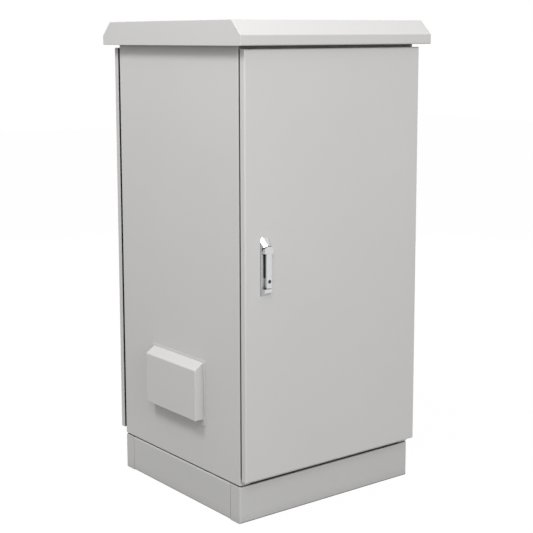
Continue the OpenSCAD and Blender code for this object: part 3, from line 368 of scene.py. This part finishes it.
def fleece_pad(name, node):
    """Filter pad: two height fields over one rectangle that meet in its border.

    u and v from -1 to 1 are the sines of even steps, so that points crowd at the border. The half
    thickness there is c ((1 - u^24) (1 - v^24))^(1/3), times 1 less the ripple of the bonded
    fibres, r (1 + sin(9 pi u + 2 sin(3 pi v))) (1 + sin(7 pi v)) / 4.
    """
    points_u, points_v, squareness, ripple_share = 61, 41, 24, 0.12
    low, high = [np.array(corner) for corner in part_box(node)]
    middle, half = (low + high) / 2, (high - low) / 2
    u, v = [np.sin(np.linspace(-np.pi / 2, np.pi / 2, n)) for n in (points_u, points_v)]
    u, v = np.meshgrid(u, v, indexing="ij")
    thick = ((1 - u ** squareness) * (1 - v ** squareness)).clip(0) ** (1 / 3)
    wave = np.sin(9 * np.pi * u + 2 * np.sin(3 * np.pi * v))
    ripple = ripple_share * (1 + wave) * (1 + np.sin(7 * np.pi * v)) / 4
    depth = half[0] * thick * (1 - ripple)
    y, z = middle[1] + half[1] * u, middle[2] + half[2] * v
    faces = [np.stack([middle[0] + way * depth, y, z], -1).reshape(-1, 3) for way in (1, -1)]
    there = np.arange(u.size).reshape(u.shape)
    behind = there + u.size
    behind[[0, -1]], behind[:, [0, -1]] = there[[0, -1]], there[:, [0, -1]]
    quads = np.concatenate([sheet_quads(there), sheet_quads(behind)[:, ::-1]])
    used, quads = np.unique(quads, return_inverse=True)
    points = np.concatenate(faces)[used]
    piece = smooth_piece(name, points, quads.reshape(-1, 4), fleece("filter_fleece"))
    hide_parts(node)
    return piece


black_plastic = moulded_plastic("black_plastic", (0.022, 0.022, 0.024))
paint(grey_coat, "vent_hood")
paint(rolled_zinc, "inlet_mesh")
paint(turned_zinc, "vent_nuts", "fan_guard", "fan_screws")
paint(black_plastic, "filter_frame", "fan_housing", "fan_rotor")
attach(fleece_pad("filter_pad", "filter_mat"), "cabinet")

# Rack: four punched 19-inch rails on folded depth brackets, zinc-plated sheet, bolted together.
# A bare copper earth bar stands on two posts on the floor plate.


def bare_copper(name):
    """Drawn copper bar: fine draw lines, browned where it was handled."""
    made, shader, where = finish(name)
    rounded = soft_edge(where, radius=0.0005)
    draw = noise(stretched(where, (0.06, 1, 1)), scale=700, detail=3)
    brown = noise(where, scale=38, detail=4)
    # Browning is the metal's own; the lean term makes the colour lighter along rounded edges: a
    # painted highlight.
    share = 0.55 + 0.5 * draw + 1.1 * brown + 0.8 * lean_of(where, rounded)
    dark, light = (0.42, 0.18, 0.09), (0.83, 0.47, 0.30)
    feed(shader, Base_Color=tone(where, share, dark, light), Metallic=1.0,
         Roughness=0.33 + 0.25 * draw - 0.25 * brown,
         Normal=bump(where, draw, strength=0.35, depth=0.00006, Normal=rounded))
    return made


upright_zinc = zinc_plate("zinc_rails", (1, 1, 0.08))
paint(rolled_zinc, "left_upper_bracket", "left_lower_bracket",
      "right_upper_bracket", "right_lower_bracket")
paint(upright_zinc, "left_front_rail", "right_front_rail", "left_rear_rail", "right_rear_rail")
paint(turned_zinc, "rail_bolts", "rail_nuts", "earth_posts", "earth_screws")
paint(bare_copper("copper_bar"), "earth_bar")

# Hinges: three concealed pin hinges of zinc-plated steel, one leaf welded to the flange beside the
# rain lip and one to the door's flange, with a headed pin dropped through the knuckles.
paint(turned_zinc, "hinge_body_leaves", "hinge_pins", "hinge_door_leaves")

# Door: a folded overlay pan with two hat-section stiffeners welded behind its skin, powder-coated,
# and a foam bead poured inside its flange to close on the rain lip.
paint(grey_coat, "front_door", "door_stiffeners")
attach(foam_bead("door_foam_bead", "door_gasket", -1), "door")

# Swing handle: die-cast zinc base and lever with polished chrome and a key plug with black chrome.
# Two screws hold the base from behind the door skin, and the lever turns a zinc-plated spindle
# with a cam that draws the two rods.


def chrome_plate(name, dark, light):
    """Polished chrome on a casting: mirror gloss, mould ripple, wipe marks, and painted shade in
    hollows.
    """
    made, shader, where = finish(name)
    rounded = soft_edge(where, radius=0.0009)
    # Painted shade: darker where nearby surfaces close in, as in the finger hollow and along the
    # door skin.
    gap_shade = shade_in_gaps(where, reach=0.03, shut=0.2, free=0.85, least=0.2)
    ripple = noise(where, scale=110, detail=2)
    wipe = noise(stretched(where, (1, 1, 0.1)), scale=900, detail=2)
    plate = tone(where, 0.5 + 0.8 * ripple + 0.6 * wipe, dark, light)
    feed(shader, Base_Color=scaled(where, plate, gap_shade), Metallic=1.0,
         Roughness=0.10 + 0.10 * wipe,
         Normal=bump(where, ripple, strength=0.25, depth=0.0004, Normal=rounded))
    return made


polished_chrome = chrome_plate("polished_chrome", (0.60, 0.605, 0.61), (0.70, 0.705, 0.71))
black_chrome = chrome_plate("black_chrome", (0.05, 0.05, 0.055), (0.10, 0.10, 0.105))
paint(polished_chrome, "handle_base", "handle_lever")
paint(black_chrome, "lock_plug")
paint(turned_zinc, "handle_screws", "handle_spindle", "lever_pin", "latch_cam", "rod_guides")
paint(upright_zinc, "upper_rod", "lower_rod")

# Studio floor: a wide pale sheet under the cabinet. The camera and mirror-like finishes see it as
# nearly white paper, and it still takes the cabinet's shadow.


def seen_white(tree):
    """1 for rays from the camera, a gloss or glass, and 0 for the light that falls on things."""
    kinds = ("Is Camera Ray", "Is Glossy Ray", "Is Transmission Ray")
    camera_ray, gloss_ray, glass_ray = [Shade(tree).node("LightPath", {}, {}, k) for k in kinds]
    seen = camera_ray + gloss_ray + glass_ray
    return seen.node("Math", {"operation": "MINIMUM"}, {0: seen, 1: 1.0})


def show(shade, output):
    """Makes a shader the surface of its tree's output node."""
    shade.tree.links.new(shade.socket, shade.tree.nodes[output].inputs["Surface"])


floor_reach, floor_drop = 12.0, 0.0006
floor_corners = [(-1, -1), (1, -1), (1, 1), (-1, 1)]
floor_mesh = bpy.data.meshes.new("studio_floor")
floor_mesh.from_pydata([(floor_reach * x, floor_reach * y, -floor_drop) for x, y in floor_corners],
                       [], [(0, 1, 2, 3)])
floor = bpy.data.objects.new("studio_floor", floor_mesh)
bpy.context.scene.collection.objects.link(floor)
paper_colour, paper_glow, glow_share = (0.27, 0.27, 0.27, 1), 1.055, 0.93
paper = bpy.data.materials.new("white_paper")
paper.use_nodes = True
paper.node_tree.nodes.remove(paper.node_tree.nodes["Principled BSDF"])
sheet = Shade(paper.node_tree)
matt = sheet.node("BsdfDiffuse", {}, {"Color": paper_colour})
white = sheet.node("Emission", {}, {"Color": (1, 1, 1, 1), "Strength": paper_glow})
glow = glow_share * seen_white(paper.node_tree)
show(sheet.node("MixShader", {}, {0: glow, 1: matt, 2: white}), "Material Output")
floor_mesh.materials.append(paper)

# Studio light: an even pale surround, which is white paper to the camera and to mirror-like
# finishes, and five square softboxes: overhead, high on the left, at the near left corner, in
# front, and behind on the right.
surround_level, paper_level = 0.47, 1.0
studio = bpy.data.worlds.new("studio")
bpy.context.scene.world = studio
studio.use_nodes = True
room = Shade(studio.node_tree)
even, paper_white = [room.node("Background", {}, {"Color": (1, 1, 1, 1), "Strength": strength})
                     for strength in (surround_level, paper_level)]
seen = seen_white(studio.node_tree)
show(room.node("MixShader", {}, {0: seen, 1: even, 2: paper_white}), "World Output")


def softbox(name, place, aim, side, watts):
    """Square area lamp at a place, turned to aim at a point."""
    lamp = bpy.data.lights.new(name, "AREA")
    lamp.shape, lamp.size, lamp.size_y, lamp.energy = "RECTANGLE", side, side, watts
    held = bpy.data.objects.new(name, lamp)
    held.location = place
    held.rotation_mode = "QUATERNION"
    held.rotation_quaternion = (Vector(aim) - Vector(place)).to_track_quat("-Z", "Y")
    bpy.context.scene.collection.objects.link(held)


softbox("overhead_softbox", (-0.8, -0.7, 3.4), aim=(0, -0.1, 0.9), side=2.0, watts=14)
softbox("side_softbox", (-2.2, 0.05, 3.55), aim=(-0.3, 0, 0.7), side=0.8, watts=55)
softbox("corner_softbox", (-2.17, -2.22, 2.8), aim=(-0.2, -0.2, 0.75), side=0.8, watts=20)
softbox("front_softbox", (-0.8, -4.2, 2.0), aim=(0, -0.3, 0.7), side=1.8, watts=79)
softbox("rear_softbox", (2.6, 3.2, 1.5), aim=(0.1, 0.1, 0.7), side=1.8, watts=75)
bpy.context.scene.view_settings.view_transform = "Standard"

# Camera: a standing view from the front left corner. Its place, turn and lens were fitted to the
# corners of the body, roof and plinth, in pixels of a square image.
image_side, focal, centre = 533, 1222.04, (246.025, 212.143)
stand = Vector((-2.1139, -2.7114, 1.2608))
yaw, pitch, roll = [math.radians(angle) for angle in (37.0737, -8.2253, -0.2418)]
ahead = Vector((math.sin(yaw) * math.cos(pitch), math.cos(yaw) * math.cos(pitch), math.sin(pitch)))
level = Vector((math.cos(yaw), -math.sin(yaw), 0))
upright = level.cross(ahead)
right = math.cos(roll) * level + math.sin(roll) * upright
above = math.cos(roll) * upright - math.sin(roll) * level
lens = bpy.data.cameras.new("camera")
lens.sensor_width = 36
lens.lens = focal * lens.sensor_width / image_side
lens.shift_x = (image_side / 2 - centre[0]) / image_side
lens.shift_y = (centre[1] - image_side / 2) / image_side
camera = bpy.data.objects.new("camera", lens)
facing = Matrix((right, above, -ahead)).transposed().to_4x4()
camera.matrix_world = Matrix.Translation(stand) @ facing
bpy.context.scene.collection.objects.link(camera)
bpy.context.scene.camera = camera
